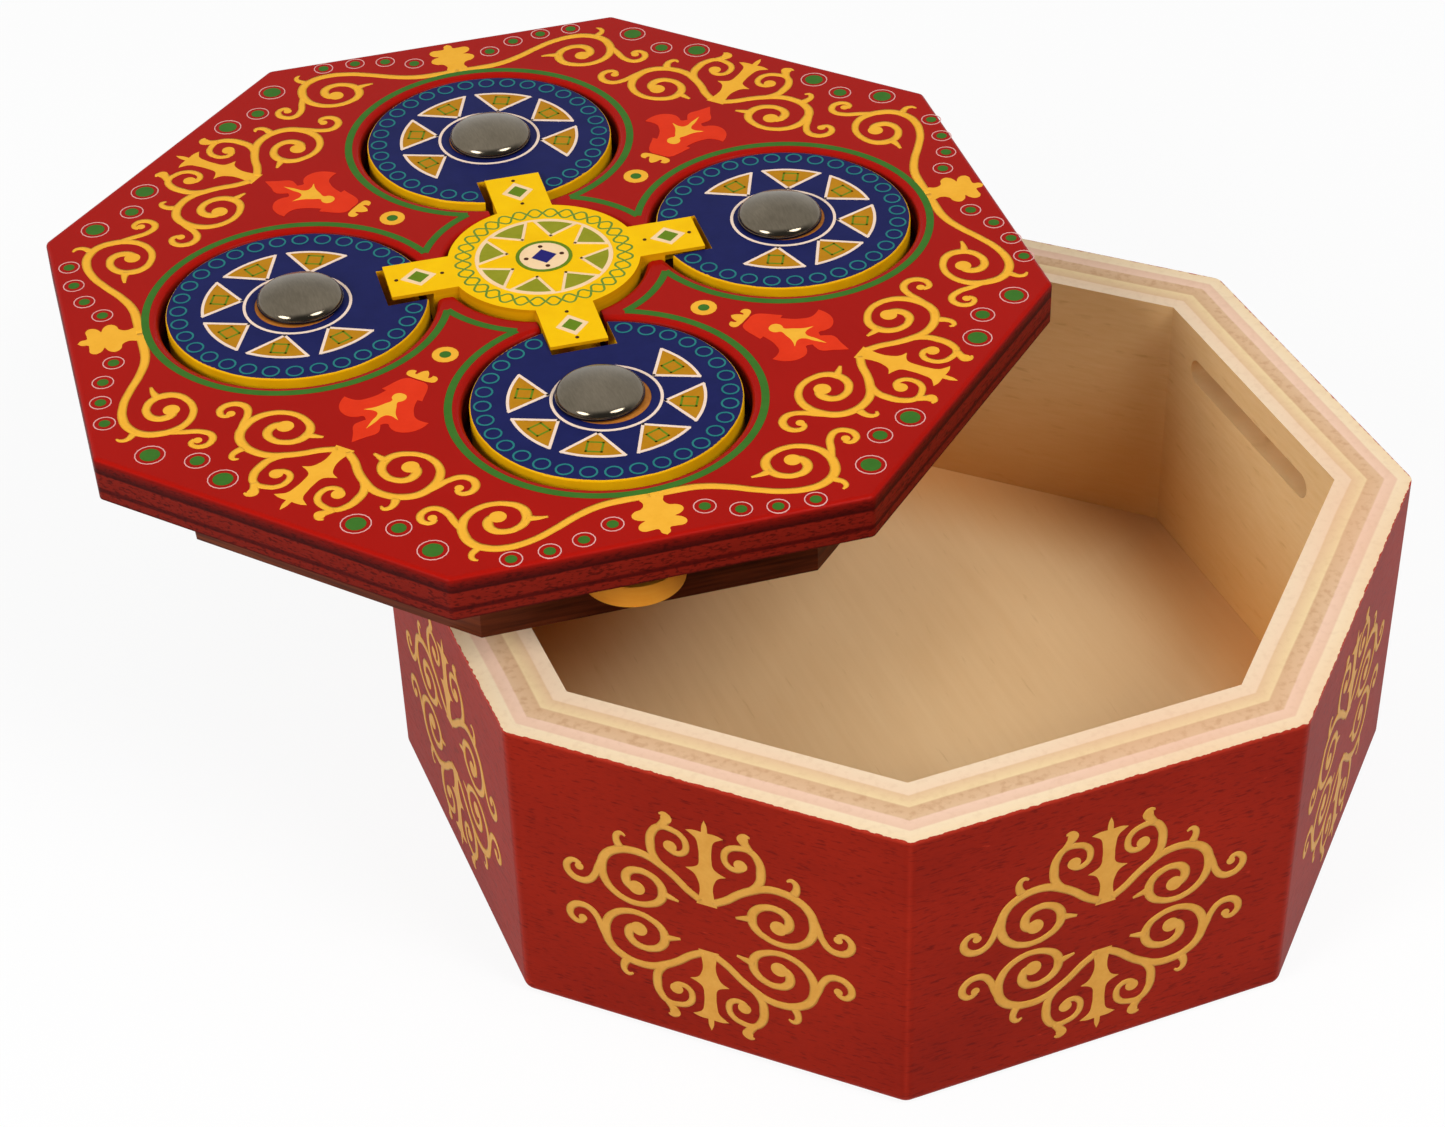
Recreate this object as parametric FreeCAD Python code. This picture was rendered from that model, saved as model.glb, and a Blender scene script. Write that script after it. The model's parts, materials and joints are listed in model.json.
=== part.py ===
import FreeCAD, Part
import math
import os

# Eight-sided puzzle box with its lid taken off and laid askew on the rim.
# The origin is the middle of the base, +Z is up, and a flat of the octagon faces each of X and Y.
# All sizes are millimetres and all angles are degrees.

# Box
box_flats = 160.0        # across the outside flats
box_height = 57.0
wall_thick = 12.0
floor_thick = 9.0
corner_round = 2.5       # outer upright corners
base_round = 2.0         # outer edge that the box stands on
glue_line = 0.05         # gap all round a piece that is glued in

# Lid plates
lid_overhang = 1.0       # of the red frame past the outside of the walls
lid_frame_thick = 7.9
lid_floor_thick = 5.6
cover_thick = 5.2
plate_gap = 0.7          # between the lid's lower plates and the inside of the walls
lid_corner_round = 1.5
lid_edge_round = 0.9     # edge of the red frame's top face
opening_round = 1.2      # edge of the dial holes and the centre opening
frame_x = -0.6           # of the red frame's sawn edge from the middle of the four dials
frame_y = 0.35

# Where the lid lies on the rim
lid_x = -41.75
lid_y = 53.65
lid_yaw = -5.57

# Dials
dial_radius = 22.2
dial_gap = 1.3           # between a dial and its hole
dial_margin = 14.6       # red frame between a dial hole and the flat of the lid
dial_proud = 0.4         # of a dial's top over the red frame
dial_float = 0.3         # under a dial
dial_edge_round = 0.4
dial_swing = 80.0        # turn of a dial to either side, up to its latch bar's stop
notch_depth = 7.7        # of the key's notch, from the dial's rim
notch_gap = 0.65         # on both sides of the key's arm
notch_end_gap = 1.1      # past the end of the key's arm

# Spindles and knobs
spindle_radius = 7.2
bearing_gap = 0.08       # running fit of a spindle in the lid floor
knob_radius = 7.35
knob_foot_round = 0.5
knob_edge_round = 1.6    # shoulder of the knob, outside its dome
knob_dome_radius = 18.0
nail_radius = 1.3
nail_length = 5.5

# Latch bars
latch_thick = 4.0
latch_width = 17.0
latch_play = 0.4         # over and under a bar
latch_bite = 6.4         # of a bar's tip into the wall
latch_skew = -6.0        # of a bar on its spindle, as it was screwed on
pocket_gap = 0.6         # round a bar's sweep in the spacer
slot_end_gap = 1.2       # past the tip of a bar in the wall slot
slot_side_gap = 0.3      # beside the sweep of a bar in the wall slot

# Countersunk wood screws
screw_head_radius = 3.2
screw_shank_radius = 1.6
screw_cone = 1.8         # height of the countersunk head
screw_point = 2.0
screw_fit = 0.04         # gap round a screw in its hole
latch_screw_length = 9.0
cover_screw_length = 13.0
core_screw_ring = 20.0   # distance of the inner cover screws from the lid's centre
edge_screw_inset = 9.0   # of the outer cover screws from the edge of the cover

# Key
wheel_land = 1.9         # red frame between a dial hole and the centre opening
wheel_gap = 0.9          # round the key's wheel
arm_width = 9.8
arm_thick = 0.6          # of the part of an arm that lies over a dial
arm_lift = 0.15          # of the raised key's arms over the dials
root_gap = 0.5           # between the thick root of an arm and the dial
channel_gap = 0.65       # on both sides of an arm in the red frame
key_turn = -1.2          # of the key in the play of its channels

# Places that follow from the sizes above
sides = 8
side_angle = 360.0 / sides
box_apothem = box_flats / 2
inner_apothem = box_apothem - wall_thick
lid_apothem = box_apothem + lid_overhang
plate_apothem = inner_apothem - plate_gap

hole_radius = dial_radius + dial_gap
dial_offset = lid_apothem - dial_margin - hole_radius
wheel_opening = dial_offset - hole_radius - wheel_land
wheel_radius = wheel_opening - wheel_gap
arm_reach = dial_offset - dial_radius + notch_depth - notch_end_gap
root_reach = dial_offset - dial_radius - root_gap

spindle_to_wall = inner_apothem - dial_offset
latch_reach = spindle_to_wall + latch_bite
latch_layer = latch_thick + 2 * latch_play

cover_bottom = box_height
cover_top = cover_bottom + cover_thick
spacer_top = cover_top + latch_layer
lid_floor_top = spacer_top + lid_floor_thick
lid_top = lid_floor_top + lid_frame_thick
latch_bottom = cover_top + latch_play
latch_top = latch_bottom + latch_thick
dial_bottom = lid_floor_top + dial_float
dial_top = lid_top + dial_proud
star_top = dial_top + arm_lift + arm_thick
star_bottom = lid_floor_top + arm_lift + arm_thick

# The four locks, by the side of the lid that they stand on
lock_angles = {"front": 270.0, "right": 0.0, "back": 90.0, "left": 180.0}

# Each knob is nailed on by hand, a little off the middle of its spindle
knob_shifts = {"front": (-0.9, 0.6), "right": (-0.6, 0.05), "back": (0.15, -0.5), "left": (0.6, 0.35)}

up = FreeCAD.Vector(0, 0, 1)
middle = FreeCAD.Vector(0, 0, 0)
past = 1.0               # a cut runs this far past the face that it opens


def octagon(apothem, bottom, height):
    """Upright eight-sided block with a flat facing each axis."""
    corner = apothem / math.cos(math.radians(side_angle / 2))
    points = []
    for k in range(sides + 1):
        angle = math.radians((k + 0.5) * side_angle)
        points.append(FreeCAD.Vector(corner * math.cos(angle), corner * math.sin(angle), bottom))
    return Part.Face(Part.makePolygon(points)).extrude(up * height)


def cylinder(radius, bottom, height):
    return Part.makeCylinder(radius, height, FreeCAD.Vector(0, 0, bottom))


def block(length, width, bottom, top):
    """Block on the X axis, from the middle outwards."""
    return Part.makeBox(length, width, top - bottom, FreeCAD.Vector(0, -width / 2, bottom))


def turned(shape, angle):
    copy = shape.copy()
    copy.rotate(middle, up, angle)
    return copy


def moved(shape, x, y):
    copy = shape.copy()
    copy.translate(FreeCAD.Vector(x, y, 0))
    return copy


def around(shape, count):
    """As many copies of a shape, evenly turned about the middle."""
    return [turned(shape, k * 360.0 / count) for k in range(count)]


def upright_edges(shape):
    return [edge for edge in shape.Edges if abs(edge.tangentAt(edge.FirstParameter).z) > 0.99]


def edges_at(shape, height):
    flat = shape.BoundBox
    level = flat.ZMin + height
    return [edge for edge in shape.Edges if abs(edge.BoundBox.ZMin - level) < 1e-6
            and abs(edge.BoundBox.ZMax - level) < 1e-6]


def revolved(points):
    """Solid of revolution about Z from corner points (r, z); a point between two others in a
    triple marks the middle of an arc."""
    edges = []
    last = None
    for point in points:
        if last is not None and len(point) == 2:
            edges.append(Part.LineSegment(on_section(last), on_section(point)).toShape())
            last = point
        elif last is not None:
            edges.append(Part.Arc(on_section(last), on_section(point[:2]), on_section(point[2:])).toShape())
            last = point[2:]
        else:
            last = point
    return Part.Face(Part.Wire(edges)).revolve(middle, up, 360)


def on_section(point):
    return FreeCAD.Vector(point[0], 0, point[1])


def bar_face(reach, half_width, bottom):
    """Flat bar from the spindle's axis outwards along X, round at both ends."""
    straight = reach - half_width
    near_right = FreeCAD.Vector(0, -half_width, bottom)
    far_right = FreeCAD.Vector(straight, -half_width, bottom)
    far_left = FreeCAD.Vector(straight, half_width, bottom)
    near_left = FreeCAD.Vector(0, half_width, bottom)
    tip = FreeCAD.Vector(reach, 0, bottom)
    tail = FreeCAD.Vector(-half_width, 0, bottom)
    return Part.Face(Part.Wire([
        Part.LineSegment(near_right, far_right).toShape(),
        Part.Arc(far_right, tip, far_left).toShape(),
        Part.LineSegment(far_left, near_left).toShape(),
        Part.Arc(near_left, tail, near_right).toShape(),
    ]))


# Box


def box_ring():
    """All eight walls in one, with rounded outer corners and base edge."""
    ring = octagon(box_apothem, 0, box_height)
    ring = ring.makeFillet(corner_round, upright_edges(ring))
    ring = ring.makeFillet(base_round, edges_at(ring, 0))
    return ring.cut(octagon(inner_apothem, -past, box_height + 2 * past))


def mitre_wedge():
    """Room of the one wall that faces +X, between its two mitred ends."""
    far = box_flats
    half = far * math.tan(math.radians(side_angle / 2))
    corners = [(0, 0), (far, -half), (far, half), (0, 0)]
    points = [FreeCAD.Vector(x, y, -past) for x, y in corners]
    return Part.Face(Part.makePolygon(points)).extrude(up * (box_height + 2 * past))


def latch_slot():
    """Blind slot inside the wall that faces +X. It is as long as the circle of a bar's tip is wide
    at the wall's face, and its ends are round as a cutter leaves them."""
    end_round = latch_layer / 2
    sweep = math.sqrt(latch_reach ** 2 - spindle_to_wall ** 2)
    lost_in_round = end_round - math.sqrt(end_round ** 2 - (latch_thick / 2) ** 2)
    half = sweep + slot_side_gap + lost_in_round - end_round
    centre = box_height - lid_floor_thick - end_round
    start = inner_apothem - past

    def corner(y, z):
        return FreeCAD.Vector(start, y, centre + z)

    outline = Part.Wire([
        Part.LineSegment(corner(-half, -end_round), corner(half, -end_round)).toShape(),
        Part.Arc(corner(half, -end_round), corner(half + end_round, 0), corner(half, end_round)).toShape(),
        Part.LineSegment(corner(half, end_round), corner(-half, end_round)).toShape(),
        Part.Arc(corner(-half, end_round), corner(-half - end_round, 0), corner(-half, -end_round)).toShape(),
    ])
    depth = past + latch_bite + slot_end_gap
    return Part.Face(outline).extrude(FreeCAD.Vector(depth, 0, 0))


def box_pieces():
    plain = box_ring().common(mitre_wedge())
    slotted = plain.cut(latch_slot())
    pieces = {"floor_panel": octagon(inner_apothem - glue_line, 0, floor_thick)}
    for k in range(sides):
        kind = "plain_wall" if k % 2 else "latch_wall"
        wall = plain if k % 2 else slotted
        pieces[f"{kind}_{k // 2 + 1}"] = turned(wall, k * side_angle)
    return pieces


# Screws


def screw(length):
    """Countersunk screw standing on its head, with the head's face at height 0."""
    return revolved([
        (0, 0), (screw_head_radius, 0), (screw_shank_radius, screw_cone),
        (screw_shank_radius, length - screw_point), (0, length), (0, 0),
    ])


def screw_hole(length):
    """Hole that a screw of this length fills but for its fit."""
    wide = screw_head_radius + screw_fit
    narrow = screw_shank_radius + screw_fit
    return revolved([
        (0, -past), (wide, -past), (wide, 0), (narrow, screw_cone),
        (narrow, length + screw_fit), (0, length + screw_fit), (0, -past),
    ])


def cover_screw_places():
    diagonal = math.sqrt(0.5)
    outer_ring = plate_apothem - edge_screw_inset
    places = []
    for ring in (core_screw_ring, outer_ring):
        for x_sign in (-1, 1):
            for y_sign in (-1, 1):
                places.append((x_sign * ring * diagonal, y_sign * ring * diagonal))
    return places


def at_cover_screws(shape):
    shape = shape.copy()
    shape.translate(up * cover_bottom)
    return Part.makeCompound([moved(shape, x, y) for x, y in cover_screw_places()])


# Lid plates


def opening_cutter(radius):
    """Round opening right through the red frame, wider at the top by the rounded edge."""
    bend = opening_round * (1 - math.sqrt(0.5))
    lip = lid_top - opening_round
    wide = radius + opening_round
    return revolved([
        (0, lid_floor_top - past), (radius, lid_floor_top - past), (radius, lip),
        (radius + bend, lid_top - bend, wide, lid_top),
        (wide, lid_top + past), (0, lid_top + past), (0, lid_floor_top - past),
    ])


def lid_frame():
    frame = octagon(lid_apothem, lid_floor_top, lid_frame_thick)
    frame = frame.makeFillet(lid_corner_round, upright_edges(frame))
    frame = frame.makeFillet(lid_edge_round, edges_at(frame, lid_frame_thick))
    frame = moved(frame, frame_x, frame_y)
    channel = block(dial_offset, arm_width + 2 * channel_gap, lid_floor_top - past, lid_top + past)
    cuts = [opening_cutter(wheel_opening)]
    cuts += around(moved(opening_cutter(hole_radius), dial_offset, 0), 4)
    cuts += around(channel, 4)
    return frame.cut(cuts)


def lid_floor():
    floor = octagon(plate_apothem, spacer_top, lid_floor_thick)
    bearing = cylinder(spindle_radius + bearing_gap, spacer_top - past, lid_floor_thick + 2 * past)
    cuts = around(moved(bearing, dial_offset, 0), 4)
    return floor.cut(cuts).cut(at_cover_screws(screw_hole(cover_screw_length)))


def latch_pocket():
    """Room that the latch bar on the +X side sweeps from one stop to the other."""
    reach = latch_reach + pocket_gap
    half_width = latch_width / 2 + pocket_gap
    first = latch_skew - dial_swing
    last = latch_skew + dial_swing
    sector = Part.makeCylinder(reach, latch_layer, FreeCAD.Vector(0, 0, cover_top), up, last - first)
    end = bar_face(reach, half_width, cover_top).extrude(up * latch_layer)
    pocket = turned(sector, first).fuse([turned(end, first), turned(end, last)])
    return moved(pocket, dial_offset, 0)


def latch_spacer():
    spacer = octagon(plate_apothem, cover_top, latch_layer)
    spacer = spacer.cut(around(latch_pocket(), 4))
    return spacer.cut(at_cover_screws(screw_hole(cover_screw_length)))


def latch_cover():
    cover = octagon(plate_apothem, cover_bottom, cover_thick)
    return cover.cut(at_cover_screws(screw_hole(cover_screw_length)))


# Locks, made for the +X side with the spindle's axis on Z


def dial():
    disc = cylinder(dial_radius, dial_bottom, dial_top - dial_bottom)
    disc = disc.makeFillet(dial_edge_round, edges_at(disc, dial_top - dial_bottom))
    hole = cylinder(spindle_radius + glue_line, dial_bottom - past, dial_top - dial_bottom + 2 * past)
    notch = block(notch_depth + past, arm_width + 2 * notch_gap, dial_bottom - past, dial_top + past)
    notch = moved(notch, -dial_radius - past, 0)
    return disc.cut([hole, notch])


def spindle(knob_shift):
    dowel = cylinder(spindle_radius, latch_top, dial_top - latch_top)
    nail_hole = cylinder(nail_radius + screw_fit, dial_top - nail_length - screw_fit,
                         nail_length + screw_fit + past)
    pilot = screw_hole(latch_screw_length)
    pilot.translate(up * latch_bottom)
    return dowel.cut([moved(nail_hole, *knob_shift), pilot])


def knob(knob_shift):
    """Low domed steel head with a nail under it, like a furniture glide."""
    bend = knob_foot_round * (1 - math.sqrt(0.5))
    foot = knob_radius - knob_foot_round
    low = dial_top + knob_foot_round
    brow = knob_radius - knob_edge_round
    slope = math.acos(brow / (knob_dome_radius - knob_edge_round))
    dome_middle = low - brow * math.tan(slope)
    edge_half = slope / 2
    dome_half = (slope + math.pi / 2) / 2
    dome = revolved([
        (0, dial_top), (foot, dial_top),
        (knob_radius - bend, dial_top + bend, knob_radius, low),
        (brow + knob_edge_round * math.cos(edge_half), low + knob_edge_round * math.sin(edge_half),
         brow + knob_edge_round * math.cos(slope), low + knob_edge_round * math.sin(slope)),
        (knob_dome_radius * math.cos(dome_half), dome_middle + knob_dome_radius * math.sin(dome_half),
         0, dome_middle + knob_dome_radius),
        (0, dial_top),
    ])
    nail = cylinder(nail_radius, dial_top - nail_length, nail_length)
    return moved(dome.fuse(nail).removeSplitter(), *knob_shift)


def latch_bar():
    bar = bar_face(latch_reach, latch_width / 2, latch_bottom).extrude(up * latch_thick)
    hole = screw_hole(latch_screw_length)
    hole.translate(up * latch_bottom)
    return turned(bar, latch_skew).cut(hole)


def latch_screw():
    fixing = screw(latch_screw_length)
    fixing.translate(up * latch_bottom)
    return fixing


def lock_pieces(side):
    """The five pieces of one lock, on its side of the lid."""
    angle = lock_angles[side]
    x, y = knob_shifts[side]
    turn = math.radians(-angle)
    knob_shift = (x * math.cos(turn) - y * math.sin(turn), x * math.sin(turn) + y * math.cos(turn))
    pieces = {
        f"{side}_dial": dial(),
        f"{side}_spindle": spindle(knob_shift),
        f"{side}_knob": knob(knob_shift),
        f"{side}_latch_bar": latch_bar(),
        f"{side}_latch_screw": latch_screw(),
    }
    return {name: turned(moved(piece, dial_offset, 0), angle) for name, piece in pieces.items()}


# Key


def key_star():
    """Wheel with four arms. The arms are thick at their roots and thin over the dials."""
    wheel = cylinder(wheel_radius, star_bottom, star_top - star_bottom)
    root = block(root_reach, arm_width, star_bottom, star_top)
    arm = block(arm_reach, arm_width, star_top - arm_thick, star_top)
    star = wheel.fuse(around(root, 4) + around(arm, 4)).removeSplitter()
    return turned(star, key_turn)


def lid_pieces():
    pieces = {
        "lid_frame": lid_frame(),
        "lid_floor": lid_floor(),
        "latch_spacer": latch_spacer(),
        "latch_cover": latch_cover(),
        "cover_screws": at_cover_screws(screw(cover_screw_length)),
        "key_star": key_star(),
    }
    for side in lock_angles:
        pieces.update(lock_pieces(side))
    return {name: moved(turned(piece, lid_yaw), lid_x, lid_y) for name, piece in pieces.items()}


os.makedirs("parts", exist_ok=True)
for name, piece in {**box_pieces(), **lid_pieces()}.items():
    piece.exportStep(f"parts/{name}.step")
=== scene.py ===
import json
import math

import bmesh
import bpy
from mathutils import Matrix, Vector


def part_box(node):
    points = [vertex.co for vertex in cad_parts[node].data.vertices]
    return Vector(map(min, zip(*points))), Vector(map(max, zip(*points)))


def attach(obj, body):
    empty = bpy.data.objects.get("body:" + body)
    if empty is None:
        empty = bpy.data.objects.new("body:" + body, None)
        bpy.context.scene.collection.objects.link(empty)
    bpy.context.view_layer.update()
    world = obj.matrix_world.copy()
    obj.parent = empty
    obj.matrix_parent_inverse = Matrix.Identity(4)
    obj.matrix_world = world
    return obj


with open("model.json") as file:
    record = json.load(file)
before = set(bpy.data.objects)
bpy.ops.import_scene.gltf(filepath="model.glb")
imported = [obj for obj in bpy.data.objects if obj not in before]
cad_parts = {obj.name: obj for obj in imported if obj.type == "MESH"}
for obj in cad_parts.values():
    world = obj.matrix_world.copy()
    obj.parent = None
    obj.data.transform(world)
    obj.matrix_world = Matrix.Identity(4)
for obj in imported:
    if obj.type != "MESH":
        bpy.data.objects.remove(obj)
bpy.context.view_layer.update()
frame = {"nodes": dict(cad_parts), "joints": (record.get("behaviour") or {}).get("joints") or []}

# Box walls
# Eight plywood boards, mitred and glued into a ring round the floor panel. They are painted dark red
# outside; the rim, the inside and the latch slots are bare wood, so the five plies show on the rim.
mm = 0.001
wall_places = {
    "latch_wall_1": 0,
    "plain_wall_1": 45,
    "latch_wall_2": 90,
    "plain_wall_2": 135,
    "latch_wall_3": 180,
    "plain_wall_3": 225,
    "latch_wall_4": 270,
    "plain_wall_4": 315,
}
wall_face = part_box("latch_wall_1")[1].x
rim_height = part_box("latch_wall_1")[1].z
wall_thick = 12 * mm


class Tone:
    """A value that varies over a finish. Sums on it add Math nodes to the finish's node tree."""

    def __init__(self, tree, socket=None):
        self.tree = tree
        self.socket = socket

    def node(self, kind, settings=None, inputs=None, output=0):
        """Adds a node, sets it up, then gives its sockets their values or links."""
        made = self.tree.nodes.new("ShaderNode" + kind)
        for name, value in (settings or {}).items():
            if name == "stops":
                stops = made.color_ramp.elements
                stops.remove(stops[1])
                stops[0].position, stops[0].color = value[0]
                for place, colour in value[1:]:
                    stops.new(place).color = colour
            else:
                setattr(made, name, value)
        for name, value in (inputs or {}).items():
            if isinstance(value, Tone):
                self.tree.links.new(value.socket, made.inputs[name])
            else:
                made.inputs[name].default_value = value
        return Tone(self.tree, made.outputs[output] if made.outputs else None)

    def other(self, name):
        """Another output of the same node."""
        return Tone(self.tree, self.socket.node.outputs[name])

    def math(self, operation, *values):
        return self.node("Math", {"operation": operation}, dict(enumerate(values)))

    def __add__(self, value):
        return self.math("ADD", self, value)

    def __sub__(self, value):
        return self.math("SUBTRACT", self, value)

    def __rsub__(self, value):
        return self.math("SUBTRACT", value, self)

    def __mul__(self, value):
        return self.math("MULTIPLY", self, value)

    def __truediv__(self, value):
        return self.math("DIVIDE", self, value)

    def __abs__(self):
        return self.math("ABSOLUTE", self)

    __radd__ = __add__
    __rmul__ = __mul__

    def most(self, value):
        return self.math("MAXIMUM", self, value)

    def rise(self, low, high):
        """0 below low, 1 above high and smooth in between."""
        settings = {"interpolation_type": "SMOOTHSTEP"}
        return self.node("MapRange", settings, {"Value": self, "From Min": low, "From Max": high})

    def mix(self, first, second):
        """The first colour where this value is 0, and the second where it is 1."""
        return self.node("Mix", {"data_type": "RGBA"}, {0: self, 6: first, 7: second}, 2)

    def fleck(self, waves, detail=2.0):
        """Noise about 0.5 on this place, with that many waves in a metre along x, y and z."""
        place = self.node("VectorMath", {"operation": "MULTIPLY"}, {0: self, 1: waves})
        return self.node("TexNoise", None, {"Vector": place, "Scale": 1.0, "Detail": detail})

    def bump(self, strength, depth):
        """This value as a height, for a shader's Normal."""
        return self.node("Bump", None, {"Strength": strength, "Distance": depth, "Height": self})


def srgb(red, green, blue):
    """A colour as it shows on a screen, 0 to 255, for a shader."""
    shares = (red / 255, green / 255, blue / 255)
    return tuple(s / 12.92 if s < 0.04 else ((s + 0.055) / 1.055) ** 2.4 for s in shares) + (1.0,)


def new_finish(name):
    """An empty material, and the place on the piece in metres."""
    finish = bpy.data.materials.new(name)
    finish.use_nodes = True
    finish.node_tree.nodes.clear()
    return finish, Tone(finish.node_tree).node("TexCoord", None, None, "Object")


def axes(vector):
    """The x, y and z of a place, of a normal or of a direction."""
    x = vector.node("SeparateXYZ", None, {"Vector": vector})
    return x, x.other("Y"), x.other("Z")


def surface(place, **sockets):
    """Closes a finish with its shader. A socket is named as in the shader, with _ for a space."""
    named = {name.replace("_", " "): value for name, value in sockets.items()}
    shader = place.node("BsdfPrincipled", None, named)
    place.node("OutputMaterial", None, {"Surface": shader})


def facing_out(place, x, y):
    """1 where the surface looks away from the middle of the box, -1 where it looks inwards."""
    outward = place.node("CombineXYZ", None, {"X": x, "Y": y})
    outward = place.node("VectorMath", {"operation": "NORMALIZE"}, {0: outward})
    normal = place.other("Normal")
    return place.node("VectorMath", {"operation": "DOT_PRODUCT"}, {0: normal, 1: outward}, "Value")


def use_finish(finish, *nodes):
    for node in nodes:
        for slot in frame["nodes"][node].material_slots:
            slot.material = finish


def octagon_reach(x, y):
    """How far out a place or a direction reaches, measured square to the nearest of the eight flats."""
    return abs(x).most(abs(y)).most((abs(x) + abs(y)) * math.sqrt(0.5))


paint_gloss = 0.035
wood_gloss = 0.12
wall_inside = wall_face - wall_thick
floor_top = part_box("floor_panel")[1].z
wall_finish, place = new_finish("painted_plywood_wall")
x, y, z = axes(place)
across = octagon_reach(x, y)
ragged = place.fleck((900, 900, 900), 3)
streak = place.fleck((380, 380, 2600), 4)
cloud = place.fleck((22, 22, 40), 3)
facing = facing_out(place, x, y)
normal_x, normal_y, _ = axes(place.other("Normal"))
on_corner = 1 - octagon_reach(normal_x, normal_y).rise(0.935, 0.99)
painted_side = facing.rise(0.3, 0.45)
bare_edge = (z + (ragged - 0.5) * (0.5 * mm)).rise(rim_height - 0.18 * mm, rim_height - 0.08 * mm)
paint_bleed = (across + (ragged - 0.5) * (0.7 * mm)).rise(wall_face - 0.14 * mm, wall_face - 0.04 * mm)
painted = (painted_side * (1 - bare_edge)).most(paint_bleed * z.rise(rim_height - 2 * mm, rim_height))
red = (cloud * 0.9 + streak * 0.5 - 0.2).mix(srgb(114, 18, 7), srgb(158, 35, 15))
red = (streak.rise(0.56, 0.72) * 0.5).mix(red, srgb(92, 11, 6))
pores = place.fleck((520, 520, 2800), 2).rise(0.56, 0.72)
red = (pores * 0.6).mix(red, srgb(84, 10, 6))
red = (place.fleck((260, 260, 900), 2).rise(0.72, 0.8) * 0.5).mix(red, srgb(186, 52, 30))
# Lighter red on the rounded vertical corners and along the top edge of the paint.
lighter_red_edges = (on_corner * 0.3).most(z.rise(rim_height - 0.9 * mm, rim_height - 0.2 * mm))
red = (lighter_red_edges * (0.2 + ragged * 0.5)).mix(red, srgb(204, 58, 38))
ply = (across - wall_inside) / wall_thick + (place.fleck((60, 60, 60)) - 0.5) * 0.04
plies = place.node(
    "ValToRGB",
    {
        "stops": [
            (0.0, srgb(238, 212, 180)),
            (0.20, srgb(238, 208, 176)),
            (0.225, srgb(226, 190, 150)),
            (0.40, srgb(236, 208, 160)),
            (0.425, srgb(214, 175, 136)),
            (0.62, srgb(220, 183, 146)),
            (0.645, srgb(238, 201, 176)),
            (0.79, srgb(232, 194, 166)),
            (0.815, srgb(241, 218, 183)),
            (1.0, srgb(239, 212, 173)),
        ]
    },
    {"Fac": ply},
)
fuzz = place.fleck((900, 900, 900), 2).rise(0.45, 0.75) * 0.4
end_grain = ply.rise(0.41, 0.44) * (1 - ply.rise(0.61, 0.65))
plies = (fuzz * (0.3 + end_grain)).mix(plies, srgb(190, 144, 106))
plies = (place.fleck((14, 14, 14)).rise(0.45, 0.8) * 0.4).mix(plies, srgb(236, 178, 140))
fine = place.fleck((200, 200, 1500), 4)
veneer = (fine * 0.6 + cloud * 0.4).mix(srgb(228, 184, 122), srgb(248, 214, 162))
veneer = (place.fleck((160, 160, 700), 3).rise(0.6, 0.8) * 0.35).mix(veneer, srgb(184, 130, 66))
# Painted shade: the bare wood inside the box turns a darker orange towards the floor.
painted_corner_shade = 1 - (z + (cloud - 0.5) * (9 * mm)).rise(floor_top, floor_top + 34 * mm)
veneer = (painted_corner_shade * 0.65).mix(veneer, srgb(208, 138, 44))
below_rim = 1 - z.rise(rim_height - 2 * mm, rim_height - 1 * mm)
bare = (0 - facing).rise(0.3, 0.6).most(below_rim).mix(plies, veneer)
paint_bump = (streak * 0.7 + ragged * 0.3).bump(0.35, 0.1 * mm)
surface(
    place,
    Base_Color=painted.mix(bare, red),
    Roughness=(painted * (0.4 + streak * 0.14 - 0.66)) + 0.66,
    Specular_IOR_Level=paint_gloss,
    Normal=paint_bump,
)
use_finish(wall_finish, *wall_places)

# Wall medallions
# A gold scroll ornament is screen printed on every wall: one figure of curls with a lily in the
# middle, and its mirror image below. The ink stands a few hundredths of a millimetre proud.
print_rise = 0.05
medallion_height = 27.0
scroll_width = 1.5
# Each point is (sideways, away from the figure's foot, width of the line), in millimetres.
big_curl = [
    (0.95, 5.7, 1.5), (3.2, 7.2, 1.5), (5.4, 9.3, 1.5), (7.6, 10.9, 1.6), (9.85, 12.05, 1.6),
    (12.6, 12.3, 1.6), (15.1, 11.55, 1.65), (17.05, 9.8, 1.7), (17.8, 7.2, 1.7), (17.45, 4.6, 1.6),
    (16.05, 2.5, 1.4), (13.8, 1.25, 1.3), (11.95, 1.05, 1.25), (9.9, 1.6, 1.3), (8.1, 2.95, 1.5),
    (7.5, 4.9, 1.7), (8.1, 6.9, 1.55), (9.85, 8.2, 1.4), (11.5, 8.4, 1.4), (13.2, 7.6, 1.6),
    (13.75, 5.9, 1.7), (13.1, 4.6, 1.7), (12.3, 4.4, 1.6),
]
top_curl = [
    (6.4, 10.0, 1.0), (8.8, 12.7, 1.5), (9.2, 15.0, 1.65), (8.85, 17.4, 1.5), (7.45, 19.1, 1.3),
    (5.5, 19.1, 1.2), (3.8, 18.2, 1.2), (3.15, 16.4, 1.2), (3.75, 14.8, 1.15), (5.1, 14.4, 1.2),
    (6.1, 15.0, 1.3),
]
top_horn = [(7.6, 19.0, 1.3), (6.6, 20.4, 1.6), (6.3, 21.3, 1.9), (6.6, 21.9, 1.2), (7.5, 21.9, 0.4)]
side_horn = [(14.5, 12.4, 1.6), (15.0, 13.8, 1.3), (14.85, 14.9, 1.1), (14.2, 15.4, 0.9), (13.4, 15.0, 0.4)]
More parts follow.
